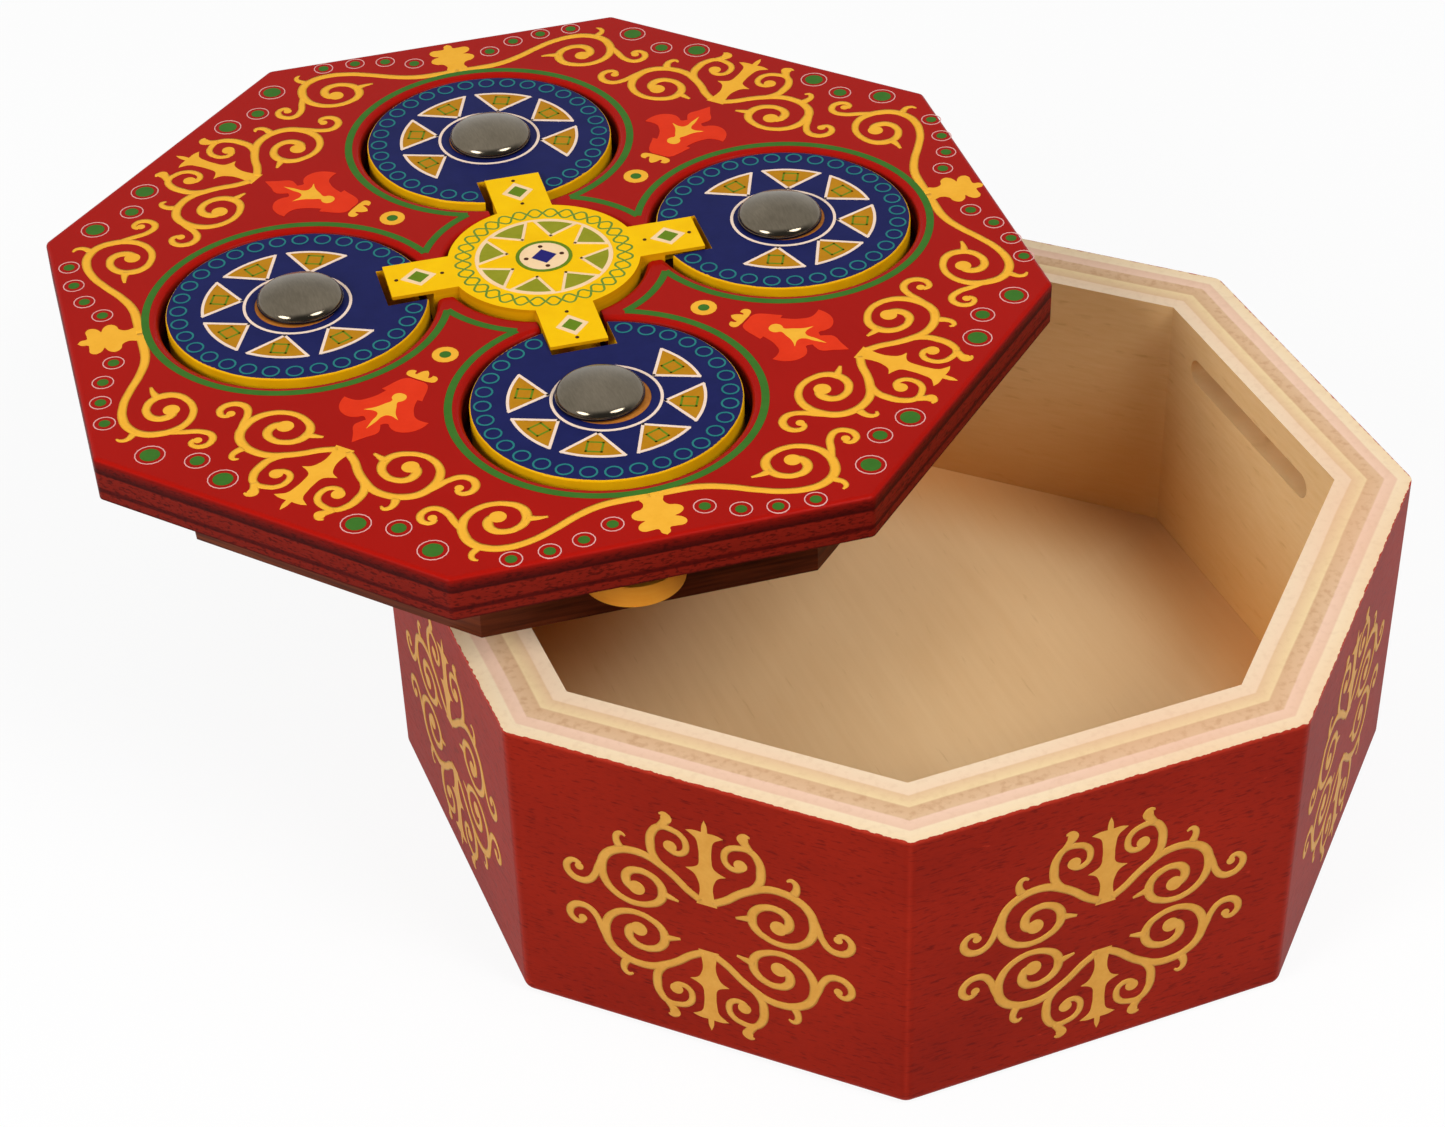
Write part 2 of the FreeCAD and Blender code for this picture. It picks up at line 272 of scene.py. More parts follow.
side_tail = [
    (17.8, 9.2, 0.8), (18.5, 6.6, 1.3), (19.2, 4.6, 1.3), (20.4, 3.1, 1.35), (21.8, 2.75, 1.4),
    (23.2, 3.3, 1.4), (24.0, 4.9, 1.35), (23.45, 6.3, 1.2), (22.5, 6.7, 1.05), (21.6, 6.1, 1.0),
]
inner_tail = [(7.8, 4.9, 1.8), (6.2, 4.5, 1.1), (4.8, 4.1, 0.5)]
# The lily's outline, right half from its foot up. True marks a sharp point.
lily = [
    (0, 5.0, True), (1.75, 5.0, True), (1.3, 6.7, False), (1.1, 8.8, False), (1.4, 10.2, False),
    (2.05, 11.4, False), (3.35, 12.1, True), (1.8, 12.8, False), (1.25, 13.4, False),
    (1.05, 14.9, False), (1.12, 17.1, False), (1.5, 18.8, False), (2.4, 19.6, False),
    (3.1, 20.05, True), (1.95, 20.4, False), (0.5, 20.4, True), (0.4, 21.8, False), (0, 22.9, True),
]
# The dots that end the curls, as (sideways, away from the figure's foot, radius).
scroll_dots = [(11.95, 4.5, 1.45), (5.85, 15.55, 1.15), (21.75, 5.65, 0.75), (6.3, 21.2, 0.95)]


def curve_into(figure, curve, flat):
    """Adds a curve's mesh to a flat figure, with its height scaled by flat."""
    holder = bpy.data.objects.new("line", curve)
    mesh = bpy.data.meshes.new_from_object(holder)
    mesh.transform(Matrix.Diagonal((1, 1, flat, 1)))
    figure.from_mesh(mesh)
    bpy.data.objects.remove(holder)
    bpy.data.curves.remove(curve)
    bpy.data.meshes.remove(mesh)


def add_line(figure, points, width, closed=False, rise=print_rise):
    """A printed line through points of (across, up, width), with flat filled ends."""
    curve = bpy.data.curves.new("line", "CURVE")
    curve.dimensions = "3D"
    curve.twist_mode = "Z_UP"
    curve.bevel_depth = width / 2
    curve.bevel_resolution = 1
    curve.resolution_u = 5
    curve.use_fill_caps = True
    spline = curve.splines.new("BEZIER")
    spline.bezier_points.add(len(points) - 1)
    spline.use_cyclic_u = closed
    for knot, (across, up, wide) in zip(spline.bezier_points, points):
        knot.co = (across, up, 0)
        knot.handle_left_type = knot.handle_right_type = "AUTO"
        knot.radius = wide / width
    curve_into(figure, curve, rise / (width / 2))


def add_fill(figure, outline, rise=print_rise):
    """A filled shape with points of (across, up, sharp) round its edge."""
    curve = bpy.data.curves.new("fill", "CURVE")
    curve.dimensions = "2D"
    curve.fill_mode = "BOTH"
    curve.extrude = 1
    curve.resolution_u = 4
    spline = curve.splines.new("BEZIER")
    spline.bezier_points.add(len(outline) - 1)
    spline.use_cyclic_u = True
    for knot, (across, up, sharp) in zip(spline.bezier_points, outline):
        knot.co = (across, up, 0)
        knot.handle_left_type = knot.handle_right_type = "VECTOR" if sharp else "AUTO"
    curve_into(figure, curve, rise)


def add_dot(figure, across, up, radius, rise=print_rise):
    """A round printed dot."""
    bmesh.ops.create_cone(
        figure,
        cap_ends=True,
        segments=24,
        radius1=radius,
        radius2=radius * 0.98,
        depth=2 * rise,
        matrix=Matrix.Translation((across, up, 0)),
    )


def both_sides(points):
    """The points, and the same points on the other side of the figure's middle line."""
    return [points, [(-across, up, *rest) for across, up, *rest in points]]


def whole_outline(half):
    """A symmetrical outline from its right half, whose first and last points are in the middle."""
    return half + [(-across, up, sharp) for across, up, sharp in reversed(half[1:-1])]


def add_scroll(figure):
    """One figure of curls with its lily."""
    for half in (big_curl, top_curl, top_horn, side_horn, side_tail, inner_tail):
        for points in both_sides(half):
            add_line(figure, points, scroll_width)
    for side in (1, -1):
        for across, up, radius in scroll_dots:
            add_dot(figure, side * across, up, radius)
    add_fill(figure, whole_outline(lily), print_rise * 0.8)


def lay_print(name, figure, places, finish, body):
    """Puts a flat figure, in millimetres, at each of the places as one printed piece."""
    drawn = bpy.data.meshes.new("drawn")
    figure.to_mesh(drawn)
    figure.free()
    sheet = bmesh.new()
    for spot in places:
        copy = drawn.copy()
        copy.transform(spot @ Matrix.Scale(mm, 4))
        sheet.from_mesh(copy)
        bpy.data.meshes.remove(copy)
    bmesh.ops.remove_doubles(sheet, verts=sheet.verts, dist=0.0002 * mm)
    bmesh.ops.recalc_face_normals(sheet, faces=sheet.faces)
    mesh = bpy.data.meshes.new(name)
    sheet.to_mesh(mesh)
    sheet.free()
    bpy.data.meshes.remove(drawn)
    mesh.materials.append(finish)
    piece = bpy.data.objects.new(name, mesh)
    bpy.context.scene.collection.objects.link(piece)
    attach(piece, body)


def ink(name, dark, light, rough=0.42, waves=300):
    """Screen ink: a flat colour with a faint mottle and a slightly uneven gloss."""
    finish, place = new_finish(name)
    mottle = place.fleck((waves, waves, waves), 3)
    grain = place.fleck((waves * 5, waves * 5, waves * 5), 2)
    surface(
        place,
        Base_Color=(mottle * 0.8 + grain * 0.4 - 0.1).mix(dark, light),
        Roughness=rough + (grain - 0.5) * 0.16,
        Specular_IOR_Level=paint_gloss,
        Normal=grain.bump(0.2, 0.03 * mm),
    )
    return finish


def wall_place(angle):
    """Across is along the wall to the right as seen from outside, up is up, from medallion height."""
    outward = Vector((math.cos(angle), math.sin(angle), 0))
    right = Vector((-math.sin(angle), math.cos(angle), 0))
    turn = Matrix((right, Vector((0, 0, 1)), outward)).transposed().to_4x4()
    return Matrix.Translation(outward * wall_face + Vector((0, 0, medallion_height * mm))) @ turn


wall_gold = ink("gold_ink_on_walls", srgb(190, 130, 46), srgb(216, 162, 78))
for node, angle in wall_places.items():
    figure = bmesh.new()
    add_scroll(figure)
    upper = bpy.data.meshes.new("upper")
    figure.to_mesh(upper)
    upper.transform(Matrix.Diagonal((1, -1, 1, 1)))
    figure.from_mesh(upper)
    bpy.data.meshes.remove(upper)
    name = node.replace("wall", "wall_medallion")
    lay_print(name, figure, [wall_place(math.radians(angle))], wall_gold, "box")

# Floor panel
# Eight-sided sheet of bare plywood, glued in between the walls, flush with their lower edge.
# Its veneer is fine and pale, with the grain running one way and a few darker pores.
floor_finish, place = new_finish("bare_veneer_floor")
x, y, _ = axes(place)
streak = place.fleck((700, 45, 60), 4)
cloud = place.fleck((26, 16, 26), 3)
pores = place.fleck((1400, 160, 300), 2).rise(0.66, 0.8) * 0.45
veneer = (streak * 0.4 + cloud * 0.9 - 0.15).mix(srgb(226, 184, 130), srgb(248, 215, 166))
veneer = (pores * 0.4).mix(veneer, srgb(182, 132, 78))
# Painted shade: the floor turns a darker orange near the walls.
painted_wall_shade = (octagon_reach(x, y) + (cloud - 0.5) * (10 * mm)).rise(wall_inside - 24 * mm, wall_inside)
surface(
    place,
    Base_Color=(painted_wall_shade * 0.65).mix(veneer, srgb(198, 124, 34)),
    Roughness=0.58 + streak * 0.16,
    Specular_IOR_Level=wood_gloss,
    Normal=streak.bump(0.15, 0.05 * mm),
)
use_finish(floor_finish, "floor_panel")

# Red plate of the lid
# The lid's top is a plywood plate with round holes for the dials, lacquered red, glossy on top and
# rougher on its sawn edge, where the plies show as darker lines.
lid_joints = {joint["child"]: joint for joint in frame["joints"]}
lock_angles = {"front": 270, "right": 0, "back": 90, "left": 180}
dial_centres = {side: Vector(lid_joints[side + "_lock"]["pos_m"]) for side in lock_angles}
lid_middle = sum(dial_centres.values(), Vector()) / 4
lid_turn = math.atan2(*(dial_centres["back"] - dial_centres["front"]).yx) - math.pi / 2
lid_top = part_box("lid_frame")[1].z
lid_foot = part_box("lid_frame")[0].z

lid_finish, place = new_finish("red_lacquered_plate")
z = axes(place)[2]
top_face = axes(place.other("Normal"))[2]
streak = place.fleck((60, 60, 1100), 4)
cloud = place.fleck((30, 30, 30), 3)
grain = place.fleck((900, 120, 300), 3)
top_red = (cloud * 0.8 + grain * 0.2).mix(srgb(150, 13, 5), srgb(173, 20, 9))
layer = (z - lid_foot) / (lid_top - lid_foot) + (streak - 0.5) * 0.05
plies = place.node(
    "ValToRGB",
    {
        "stops": [
            (0.0, srgb(66, 13, 9)),
            (0.05, srgb(112, 25, 15)),
            (0.18, srgb(116, 25, 14)),
            (0.22, srgb(72, 11, 8)),
            (0.28, srgb(78, 12, 8)),
            (0.33, srgb(114, 24, 14)),
            (0.63, srgb(120, 26, 15)),
            (0.67, srgb(60, 9, 7)),
            (0.72, srgb(68, 11, 8)),
            (0.88, srgb(110, 16, 9)),
            (1.0, srgb(144, 15, 7)),
        ]
    },
    {"Fac": layer},
)
pitted = place.fleck((1000, 1000, 2400), 3)
side_red = (pitted.rise(0.48, 0.68) * (1 - layer.rise(0.8, 1.0)) * 0.65).mix(plies, srgb(48, 7, 6))
topness = top_face.rise(0.35, 0.8)
surface(
    place,
    Base_Color=topness.mix(side_red, top_red),
    Roughness=0.5 - topness * 0.24 + (cloud - 0.5) * 0.06,
    Specular_IOR_Level=paint_gloss,
    Normal=((1 - topness) * pitted + topness * grain * 0.08).bump(0.4, 0.15 * mm),
)
use_finish(lid_finish, "lid_frame")

# Gold scrolls on the lid
# The four sides between the dials carry the same figure of curls as the walls. The four sides by
# the dials carry a long stem that ends in two curls, with a small palmette in the middle.
lid_scale = 1.005
scroll_foot = 55.2
stem_curl = [
    (0, 69.3, 1.7), (4.0, 69.2, 1.7), (8.0, 69.5, 1.6), (12.0, 70.9, 1.5), (16.0, 73.0, 1.45),
    (20.0, 74.7, 1.45),
]
curl_shift = (11.7, 62.9)
stem_curl += [(across + curl_shift[0], up + curl_shift[1], wide) for across, up, wide in big_curl[5:]]
stem_horn = [(27.6, 73.6, 1.5), (28.6, 74.4, 1.3), (29.4, 75.2, 1.1), (29.5, 76.3, 0.9), (28.8, 77.0, 0.4)]
stem_tail = [
    (29.6, 69.5, 0.8), (30.2, 66.5, 1.3), (31.0, 63.6, 1.3), (32.5, 62.2, 1.3), (34.2, 62.6, 1.3),
    (35.0, 64.0, 1.3), (34.6, 65.3, 1.1), (33.5, 65.7, 1.0), (32.8, 65.0, 1.0),
]
stem_point = [(19.5, 69.0, 1.8), (18.0, 69.5, 1.1), (16.2, 69.7, 0.5)]
stem_dots = [(23.6, 67.4, 1.4), (33.2, 64.6, 0.75)]
palmette = [
    (0, 69.0, True), (1.9, 69.8, False), (1.6, 71.2, False), (2.2, 72.4, False), (3.4, 72.8, False),
    (4.1, 73.8, False), (3.6, 74.8, False), (2.3, 75.4, True), (3.5, 76.2, False), (3.8, 77.2, False),
    (3.2, 77.9, False), (1.8, 77.9, False), (0.9, 78.0, False), (0.7, 79.0, False), (0, 79.6, True),
]


def lid_place(angle, height=lid_top):
    """Across is along a side of the lid, up is away from the lid's middle, at the prints' own scale."""
    spot = Vector((lid_middle.x, lid_middle.y, height))
    turn = Matrix.Rotation(lid_turn + math.radians(angle) - math.pi / 2, 4, "Z")
    return Matrix.Translation(spot) @ turn @ Matrix.Diagonal((lid_scale, lid_scale, 1, 1))


corner_places = [lid_place(angle) for angle in (45, 135, 225, 315)]
dial_places = [lid_place(angle) for angle in lock_angles.values()]
lid_gold = ink("gold_ink_on_lid", srgb(232, 164, 42), srgb(247, 185, 62))
figure = bmesh.new()
add_scroll(figure)
shifted = [spot @ Matrix.Translation((0, scroll_foot * mm, 0)) for spot in corner_places]
lay_print("lid_corner_scrolls", figure, shifted, lid_gold, "lid")
figure = bmesh.new()
for half in (stem_curl, stem_horn, stem_tail, stem_point):
    for points in both_sides(half):
        add_line(figure, points, scroll_width)
for side in (1, -1):
    for across, up, radius in stem_dots:
        add_dot(figure, side * across, up, radius)
add_fill(figure, whole_outline(palmette), print_rise * 0.8)
lay_print("lid_stem_scrolls", figure, dial_places, lid_gold, "lid")

# Small prints on the lid
# An orange tulip with a gold heart points outwards between every two dials, with a gold crown and a
# gold ring behind it. Green dots in pale rings follow the edge, and a green line the dials.
tulip = [
    (0, 58.4, True), (1.2, 56.3, False), (2.3, 54.4, False), (1.9, 53.2, False), (1.4, 52.4, True),
    (2.3, 51.7, False), (3.1, 52.3, False), (4.3, 52.8, False), (5.7, 52.6, False), (7.1, 51.6, False),
    (7.9, 50.0, False), (8.1, 48.6, True), (6.9, 48.7, False), (5.5, 48.4, False), (4.5, 47.4, False),
    (3.6, 45.9, False), (3.0, 44.1, True), (3.9, 44.0, True), (3.5, 42.9, False), (3.0, 41.3, False),
    (2.3, 40.0, False), (1.6, 39.55, False), (0, 39.5, False),
]
tulip_heart = [
    (0, 54.3, True), (0.35, 52.2, False), (0.55, 50.3, False), (1.2, 49.75, False), (3.3, 50.15, True),
    (2.0, 48.9, False), (1.1, 47.3, False), (0.55, 46.0, False), (1.0, 45.5, False), (1.2, 44.75, False),
    (0.8, 43.95, False), (0, 43.7, False),
]
crown = [
    (0, 39.1, False), (1.6, 39.05, False), (2.6, 38.75, False), (2.85, 38.0, False), (2.4, 37.35, False),
    (1.6, 37.25, True), (1.45, 37.95, False), (1.15, 38.1, False), (0.95, 37.6, False), (0.5, 36.8, False),
    (0, 36.4, True),
]
edge_dots_at_dials = [(7.3, 74.6), (12.4, 77.0), (18.0, 78.1), (24.0, 78.2)]
# Each dot's place, with the radii of the dot and of its ring.
edge_dots_at_corners = {
    (12.5, 75.7): (1.65, 2.4),
    (26.6, 75.8): (1.65, 2.4),
    (19.0, 73.6): (1.2, 2.0),
}
edge_dot = 0.95
edge_ring = 1.75
ring_line = 0.17
bead_distance = 31.2
bead_dot = 1.0
bead_ring = 1.6
bead_line = 1.25
green_line = 1.3
dial_ring = 25.5
key_ring = 21.1
dial_distance = (dial_centres["back"] - lid_middle).length / (lid_scale * mm)


def add_ring(figure, across, up, radius, line, start=0.0, sweep=2 * math.pi, rise=print_rise):
    """A printed ring, or an arc of one, spun from the section of its line."""
    middle = Vector((across, up, 0))
    corners = [(-line / 2, -rise), (line / 2, -rise), (line / 2, rise), (-line / 2, rise)]
    section = [figure.verts.new((across + radius + out, up, high)) for out, high in corners]
    edges = [figure.edges.new((section[k - 1], section[k])) for k in range(4)]
    turn = Matrix.Rotation(start, 3, "Z")
    bmesh.ops.rotate(figure, cent=middle, matrix=turn, verts=section)
    whole = sweep >= 2 * math.pi
    spun = bmesh.ops.spin(
        figure,
        geom=section + edges,
        cent=middle,
        axis=(0, 0, 1),
        angle=sweep,
        steps=max(16, int(radius * sweep)),
        use_merge=whole,
    )
    if not whole:
        last = [item for item in spun["geom_last"] if isinstance(item, bmesh.types.BMEdge)]
        bmesh.ops.holes_fill(figure, edges=edges + last)


flower_ink = ink("orange_ink", srgb(212, 46, 18), srgb(230, 60, 28))
green_ink = ink("green_ink", srgb(48, 100, 30), srgb(66, 118, 42))
pale_ink = ink("pale_pink_ink", srgb(216, 156, 150), srgb(234, 184, 178))
figure = bmesh.new()
add_fill(figure, whole_outline(tulip))
lay_print("lid_tulips", figure, corner_places, flower_ink, "lid")
figure = bmesh.new()
add_fill(figure, whole_outline(tulip_heart), print_rise * 1.6)
add_fill(figure, whole_outline(crown))
add_ring(figure, 0, bead_distance, bead_ring, bead_line)
lay_print("lid_tulip_hearts", figure, corner_places, lid_gold, "lid")
figure = bmesh.new()
for side in (1, -1):
    for (across, up), (dot, ring) in edge_dots_at_corners.items():
        add_dot(figure, side * across, up, dot)
add_dot(figure, 0, bead_distance, bead_dot)
turn = math.acos((dial_distance**2 + key_ring**2 - dial_ring**2) / (2 * dial_distance * key_ring))
add_ring(figure, 0, 0, key_ring, green_line, math.radians(45) + turn, math.radians(90) - 2 * turn)
lay_print("lid_corner_dots", figure, corner_places, green_ink, "lid")
figure = bmesh.new()
for side in (1, -1):
    for across, up in edge_dots_at_dials:
        add_dot(figure, side * across, up, edge_dot)
turn = math.acos((dial_distance**2 + dial_ring**2 - key_ring**2) / (2 * dial_distance * dial_ring))
sweep = 2 * math.pi - 2 * turn
add_ring(figure, 0, dial_distance, dial_ring, green_line, turn - math.pi / 2, sweep, print_rise * 0.9)
lay_print("lid_dial_lines", figure, dial_places, green_ink, "lid")
figure = bmesh.new()
for side in (1, -1):
    for (across, up), (dot, ring) in edge_dots_at_corners.items():
        add_ring(figure, side * across, up, ring, ring_line)
lay_print("lid_corner_rings", figure, corner_places, pale_ink, "lid")
figure = bmesh.new()
for side in (1, -1):
    for across, up in edge_dots_at_dials:
        add_ring(figure, side * across, up, edge_ring, ring_line)
lay_print("lid_dial_side_rings", figure, dial_places, pale_ink, "lid")

# Latch housing
# Under the red plate are the plate that carries the dials, a spacer with pockets for the latch bars
# and a cover screwed on from below. They are stained brown, and the plate and the spacer above the
# cover are painted almost black, a painted shade for the shadow under the red plate's overhang.
cover_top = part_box("latch_cover")[1].z
stain_and_shade_finish, place = new_finish("brown_stain_and_painted_shade")
z = axes(place)[2]
streak = place.fleck((70, 70, 1300), 4)
cloud = place.fleck((60, 60, 60), 3)
brown = (streak * 1.8 + cloud * 0.4 - 0.6).mix(srgb(44, 13, 6), srgb(112, 50, 24))
# Painted shade: everything above the cover is darkened almost to black.
painted_overhang_shade = z.rise(cover_top - 0.1 * mm, cover_top + 0.1 * mm)
brown = (painted_overhang_shade * 0.7).mix(brown, srgb(22, 7, 5))
surface(
    place,
    Base_Color=brown,
    Roughness=0.5 + streak * 0.16,
    Specular_IOR_Level=wood_gloss,
    Normal=streak.bump(0.35, 0.12 * mm),
)
use_finish(stain_and_shade_finish, "lid_floor", "latch_spacer", "latch_cover")

# Screws
# Small zinc-plated countersunk screws hold the cover to the lid and each latch bar to its spindle.
# The plating is bright and slightly streaked.
screw_finish, place = new_finish("zinc_plated_screw")
scratch = place.fleck((900, 5000, 2000), 3)
surface(
    place,
    Base_Color=scratch.mix(srgb(150, 150, 148), srgb(196, 195, 190)),
    Metallic=1.0,
    Roughness=0.24 + scratch * 0.18,
)
use_finish(screw_finish, "cover_screws", *[side + "_latch_screw" for side in lock_angles])

# Dials
# Four round plates that lie in the lid's holes, each notched for the key. They are painted yellow
# and printed dark blue on top, with a pale ring, six wedges and a row of small teal circles.
dial_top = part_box("front_dial")[1].z
blue_edge = 22.0 * mm
band_radius = 8.95
band_line = 0.5
wedge_angles = [math.radians(turn) * sign for turn in (22.5, 67.5, 112.5) for sign in (1, -1)]
wedge_tip = 9.6
wedge_end = 15.9
wedge_half = math.radians(18.6)
square_distance = 13.4
square_half = 1.25
square_line = 0.36
circle_distance = 19.95
circle_radius = 1.35
circle_line = 0.32
circle_count = 32
circles_each_way = 14


def add_wedge(figure, angle, tip, end, half, rise=print_rise):
    """A filled wedge that points at the middle, with a rounded outer side."""
    turns = [(half * k / 3, k in (-3, 3)) for k in (-3, -2, -1, 0, 1, 2, 3)]
    outline = [(tip * math.sin(angle), tip * math.cos(angle), True)]
    outline += [(end * math.sin(angle + t), end * math.cos(angle + t), sharp) for t, sharp in turns]
    add_fill(figure, outline, rise)


def add_frame(figure, path, line, rise):
    """Straight printed lines from corner to corner."""
    for first, last in zip(path, path[1:]):
        along = (Vector(last) - Vector(first)).normalized() * (line / 2)
        start = Vector(first) - along
        end = Vector(last) + along
        out = Vector((-along.y, along.x))
        corners = (start + out, end + out, end - out, start - out)
        add_fill(figure, [(*corner, True) for corner in corners], rise)


def polar(radius, angle):
    return (radius * math.sin(angle), radius * math.cos(angle))


def add_wedge_edge(figure, angle, tip, end, half, line, rise):
    """The pale line round a wedge: two straight sides and an arc."""
    for turn in (-half, half):
        add_frame(figure, [polar(tip, angle), polar(end, angle + turn)], line, rise)
    add_ring(figure, 0, 0, end, line, math.pi / 2 - angle - half, 2 * half, rise * 0.95)


cream_ink = ink("cream_ink", srgb(234, 204, 184), srgb(246, 224, 204))
ochre_ink = ink("ochre_ink", srgb(170, 112, 10), srgb(194, 136, 26))
leaf_ink = ink("leaf_green_ink", srgb(88, 118, 18), srgb(110, 138, 30))
teal_ink = ink("teal_ink", srgb(28, 104, 106), srgb(48, 132, 128))
for side, angle in lock_angles.items():
    centre = dial_centres[side]
    finish, place = new_finish(side + "_dial_paint")
    x, y, _ = axes(place)
    out_x = x - centre.x
    out_y = y - centre.y
    squared = out_x * out_x + out_y * out_y
    away = squared.math("SQRT", squared)
    mottle = place.fleck((260, 260, 260), 3)
    grain = place.fleck((1500, 1500, 1500), 2)
    top_face = axes(place.other("Normal"))[2]
    blue_print = (blue_edge - away + (mottle - 0.5) * (0.3 * mm)).rise(-0.05 * mm, 0.05 * mm)
    blue_print = blue_print * top_face.rise(0.7, 0.9)
    yellow = mottle.mix(srgb(222, 156, 4), srgb(244, 190, 12))
    blue = (mottle * 0.8 + grain * 0.3).mix(srgb(18, 22, 70), srgb(29, 34, 90))
    surface(
        place,
        Base_Color=blue_print.mix(yellow, blue),
        Roughness=0.36 + (grain - 0.5) * 0.14,
        Specular_IOR_Level=paint_gloss,
        Normal=grain.bump(0.2, 0.03 * mm),
    )
    use_finish(finish, side + "_dial")
    turn = Matrix.Rotation(lid_turn + math.radians(angle) - math.pi / 2, 4, "Z")
    spot = Matrix.Translation((centre.x, centre.y, dial_top)) @ turn
    spots = [spot @ Matrix.Diagonal((lid_scale, lid_scale, 1, 1))]
    body = side + "_lock"
    figure = bmesh.new()
    for wedge in wedge_angles:
        add_wedge(figure, wedge, wedge_tip, wedge_end, wedge_half)
    lay_print(side + "_dial_wedges", figure, spots, ochre_ink, body)
    figure = bmesh.new()
    for wedge in wedge_angles:
        add_wedge_edge(figure, wedge, wedge_tip, wedge_end, wedge_half, band_line, print_rise * 1.5)
    add_ring(figure, 0, 0, band_radius, band_line)
    lay_print(side + "_dial_pale_lines", figure, spots, cream_ink, body)
    figure = bmesh.new()
    for wedge in wedge_angles:
        middle = Vector(polar(square_distance, wedge))
        along = Vector(polar(square_half, wedge))
        out = Vector((-along.y, along.x))
        corners = [middle + along + out, middle + along - out, middle - along - out, middle - along + out]
        add_frame(figure, corners + corners[:1], square_line, print_rise * 1.5)
    lay_print(side + "_dial_squares", figure, spots, leaf_ink, body)
    figure = bmesh.new()
    for count in range(-circles_each_way, circles_each_way + 1):
        across, up = polar(circle_distance, 2 * math.pi * count / circle_count)
        add_ring(figure, across, up, circle_radius, circle_line)
    lay_print(side + "_dial_circles", figure, spots, teal_ink, body)

# Spindles
# A hardwood dowel glued into each dial turns in the lid and carries the latch bar. Its end shows
# as a brown ring under the knob.
dowel_finish, place = new_finish("hardwood_dowel")
pores = place.fleck((1600, 1600, 200), 3)
cloud = place.fleck((120, 120, 60), 2)
surface(
    place,
    Base_Color=(pores * 0.7 + cloud * 0.5 - 0.1).mix(srgb(140, 74, 18), srgb(206, 132, 52)),
    Roughness=0.46 + pores * 0.16,
    Specular_IOR_Level=wood_gloss,
    Normal=pores.bump(0.3, 0.1 * mm),
)
use_finish(dowel_finish, *[side + "_spindle" for side in lock_angles])

# Knobs
# A domed nail with a broad head, nickel plated and polished, is driven into each dowel.
# The dome is nearly flat, a little smudged and finely scratched.
knob_finish, place = new_finish("nickel_knob")
scratch = place.fleck((4200, 700, 900), 4)
smudge = place.fleck((160, 160, 160), 3)
surface(
    place,
    Base_Color=(smudge * 0.8 + scratch * 0.6 - 0.2).mix(srgb(82, 75, 62), srgb(128, 118, 102)),
    Metallic=1.0,
    Roughness=0.07 + smudge * 0.12 + scratch.rise(0.6, 0.8) * 0.1,
)
use_finish(knob_finish, *[side + "_knob" for side in lock_angles])

# Latch bars
# Bare plywood bars with a rounded end, screwed under the spindles. They swing out of the housing's
# side into the slots in the walls. The wood is a warm orange brown.
latch_finish, place = new_finish("bare_plywood_latch")
streak = place.fleck((260, 260, 1400), 3)
cloud = place.fleck((90, 90, 90), 3)
surface(
    place,
    Base_Color=(streak * 0.6 + cloud * 0.6 - 0.1).mix(srgb(240, 148, 36), srgb(252, 180, 66)),
    Roughness=0.52 + streak * 0.14,
    Specular_IOR_Level=wood_gloss,
    Normal=streak.bump(0.3, 0.1 * mm),
)
use_finish(latch_finish, *[side + "_latch_bar" for side in lock_angles])

# Key
# The yellow centre wheel with four arms, sawn from thin plywood and painted. It is printed with a
# chain ring, eight wedges, a round boss in the middle and a small lozenge on every arm.
key_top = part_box("key_star")[1].z
key_finish, place = new_finish("yellow_key_paint")
mottle = place.fleck((240, 240, 240), 3)
grain = place.fleck((1500, 1500, 1500), 2)
streak = place.fleck((60, 60, 1600), 3)
top_face = axes(place.other("Normal"))[2].rise(0.4, 0.8)
side_yellow = streak.mix(srgb(196, 128, 4), srgb(234, 172, 8))
top_yellow = (mottle * 0.9).mix(srgb(238, 180, 1), srgb(253, 205, 8))
surface(
    place,
    Base_Color=top_face.mix(side_yellow, top_yellow),
    Roughness=0.38 + (grain - 0.5) * 0.14,
    Specular_IOR_Level=paint_gloss,
    Normal=(grain * 0.4 + streak * 0.6).bump(0.2, 0.05 * mm),
)
use_finish(key_finish, "key_star")

key_turn = -1.2
chain_radius = 13.9
chain_sway = 1.3
chain_links = 32
chain_line = 0.4
star_ring = 11.6
star_ring_line = 0.45
star_line = 0.5
star_tip = 6.5
star_end = 11.3
star_half = math.radians(18.6)
boss_radius = 4.55
boss_line = 0.65
boss_mark = 2.2
lozenge_distance = 21.8
# Each lozenge is (half its length, half its width).
pale_lozenge = (3.1, 2.8)
green_lozenge = (1.9, 1.8)
# Each kind of dot on the key is (distance from the middle, radius).
key_dots = ((3.1, 0.42), (17.7, 0.34), (25.6, 0.34))
key_place = [lid_place(90 + key_turn, key_top)]
arm_angles = [math.radians(turn) for turn in (0, 90, 180, 270)]
star_angles = [math.radians(22.5 + 45 * k) for k in range(8)]


def add_lozenges(figure, half_length, half_width, rise):
    """A filled lozenge on every arm of the key, with its length along the arm."""
    corners = [(0, half_length), (half_width, 0), (0, -half_length), (-half_width, 0)]
    for angle in arm_angles:
        across, up = polar(lozenge_distance, angle)
        turned = [Matrix.Rotation(-angle, 2) @ Vector(corner) for corner in corners]
        add_fill(figure, [(across + c.x, up + c.y, True) for c in turned], rise)


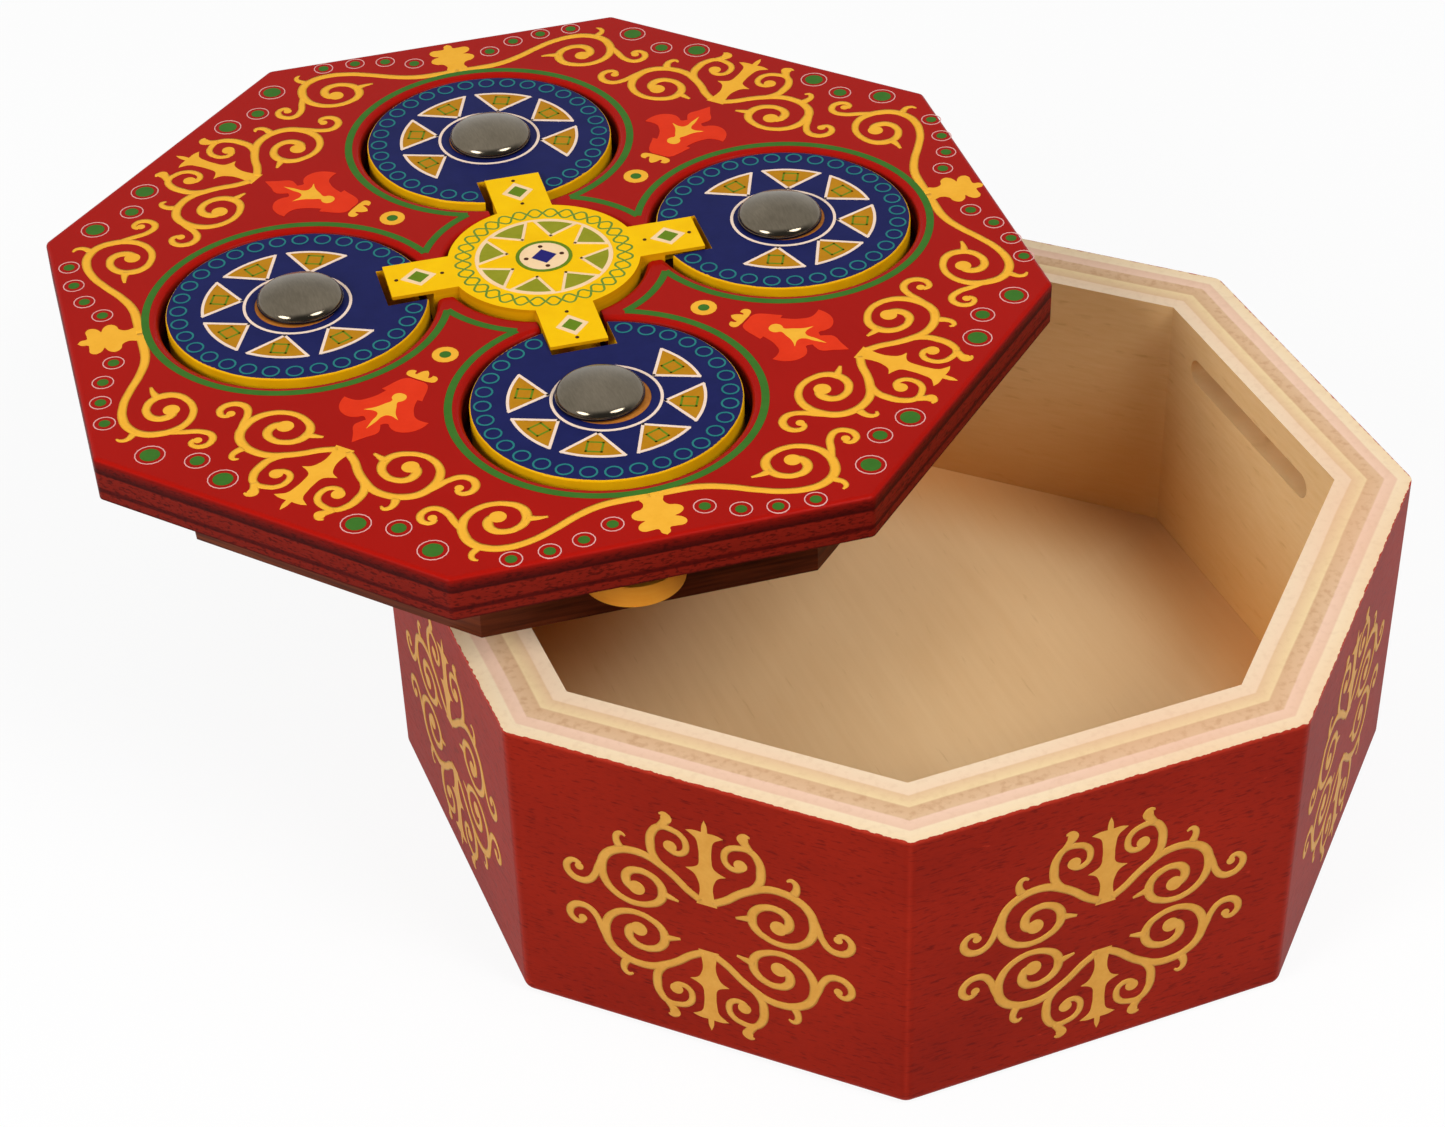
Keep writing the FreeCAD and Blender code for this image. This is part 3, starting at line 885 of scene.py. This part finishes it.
blush_ink = ink("pale_blush_ink", srgb(238, 198, 146), srgb(250, 220, 178))
dark_ink = ink("dark_brown_ink", srgb(52, 24, 14), srgb(82, 40, 22))
olive_ink = ink("olive_ink", srgb(128, 132, 20), srgb(158, 156, 44))
navy_ink = ink("navy_ink", srgb(24, 22, 92), srgb(40, 38, 118))
chain_ink = ink("chain_green_ink", srgb(92, 126, 40), srgb(122, 154, 62))
figure = bmesh.new()
for sign in (1, -1):
    steps = chain_links * 2
    strand = []
    for step in range(steps):
        sway = (0, 1, 0, -1)[step % 4] * sign
        across, up = polar(chain_radius + chain_sway * sway, 2 * math.pi * step / steps)
        strand.append((across, up, chain_line))
    add_line(figure, strand, chain_line, True, print_rise * (1.1 + 0.1 * sign))
lay_print("key_chain", figure, key_place, chain_ink, "key")
figure = bmesh.new()
for angle in star_angles:
    add_wedge(figure, angle, star_tip, star_end, star_half)
lay_print("key_wedges", figure, key_place, olive_ink, "key")
figure = bmesh.new()
for angle in star_angles:
    add_wedge_edge(figure, angle, star_tip, star_end, star_half, star_line, print_rise * 1.5)
add_ring(figure, 0, 0, star_ring, star_ring_line, rise=print_rise * 1.2)
add_dot(figure, 0, 0, boss_radius, print_rise * 0.8)
add_lozenges(figure, *pale_lozenge, print_rise * 0.8)
lay_print("key_pale_lines", figure, key_place, blush_ink, "key")
figure = bmesh.new()
add_ring(figure, 0, 0, boss_radius, boss_line, rise=print_rise * 1.5)
add_lozenges(figure, *green_lozenge, print_rise * 1.2)
lay_print("key_green_marks", figure, key_place, leaf_ink, "key")
figure = bmesh.new()
diamond = [(0, boss_mark), (boss_mark, 0), (0, -boss_mark), (-boss_mark, 0)]
add_fill(figure, [(across, up, True) for across, up in diamond], print_rise * 1.4)
lay_print("key_boss_mark", figure, key_place, navy_ink, "key")
figure = bmesh.new()
for angle in arm_angles:
    for radius, dot in key_dots:
        across, up = polar(radius, angle)
        add_dot(figure, across, up, dot, print_rise * 1.4)
lay_print("key_dots", figure, key_place, dark_ink, "key")

# Studio
# A white table, three soft lamps, and the camera where the photographer stood. The table and the
# room are white to the camera and to reflections, and the room is dimmer towards the front.
table_mesh = bmesh.new()
bmesh.ops.create_grid(table_mesh, x_segments=1, y_segments=1, size=4)
mesh = bpy.data.meshes.new("table")
table_mesh.to_mesh(mesh)
table_mesh.free()
table = bpy.data.objects.new("table", mesh)
bpy.context.scene.collection.objects.link(table)
table_finish = bpy.data.materials.new("white_table")
table_finish.use_nodes = True
table_finish.node_tree.nodes.clear()
start = Tone(table_finish.node_tree)
path = start.node("LightPath", None, None, "Is Camera Ray")
seen = path.most(path.other("Is Glossy Ray")).most(path.other("Is Transmission Ray"))
cloth = start.node("BsdfDiffuse", None, {"Color": srgb(245, 245, 245)})
glow = start.node("Emission", None, {"Color": (1, 1, 1, 1), "Strength": 1.0})
both = start.node("MixShader", None, {0: seen * 0.9, 1: cloth, 2: glow})
start.node("OutputMaterial", None, {"Surface": both})
mesh.materials.append(table_finish)

world = bpy.data.worlds.new("studio")
world.use_nodes = True
world.node_tree.nodes.clear()
start = Tone(world.node_tree)
path = start.node("LightPath", None, None, "Is Camera Ray")
reflected = path.other("Is Glossy Ray").most(path.other("Is Transmission Ray"))
heading = start.node("TexCoord", None, None, "Generated")
behind = axes(heading)[1].rise(-0.75, 0.1)
mirrored = reflected * (0.12 + behind * 0.88)
strength = path.most(mirrored).most((1 - path.most(reflected)) * (0.2 + behind * 0.15))
room = start.node("Background", None, {"Color": (1, 1, 1, 1), "Strength": strength})
start.node("OutputWorld", None, {"Surface": room})
bpy.context.scene.world = world

lamps = {
    "window_left": ((-1.0, -0.4, 0.72), 0.55, 8.8),
    "window_right": ((0.4, -0.7, 0.95), 0.55, 8.1),
    "ceiling": ((0.0, 0.3, 1.2), 0.9, 1.0),
}
for name, (spot, size, power) in lamps.items():
    light = bpy.data.lights.new(name, "AREA")
    light.shape = "DISK"
    light.size = size
    light.energy = power
    lamp = bpy.data.objects.new(name, light)
    lamp.location = spot
    lamp.visible_glossy = name != "ceiling"
    lamp.rotation_euler = Vector(spot).to_track_quat("Z", "Y").to_euler()
    bpy.context.scene.collection.objects.link(lamp)

camera_spot = Vector((-172.18, -376.05, 369.24)) * mm
forward = Vector((0.27519, 0.73290, -0.62220))
right = Vector((0.92876, -0.36985, -0.02487))
lens = bpy.data.cameras.new("camera")
lens.sensor_width = 36.0
lens.lens = 76.9
camera = bpy.data.objects.new("camera", lens)
aim = Matrix((right, right.cross(forward), -forward)).transposed().to_4x4()
camera.matrix_world = Matrix.Translation(camera_spot) @ aim
bpy.context.scene.collection.objects.link(camera)
bpy.context.scene.camera = camera
bpy.context.scene.view_settings.view_transform = "Standard"
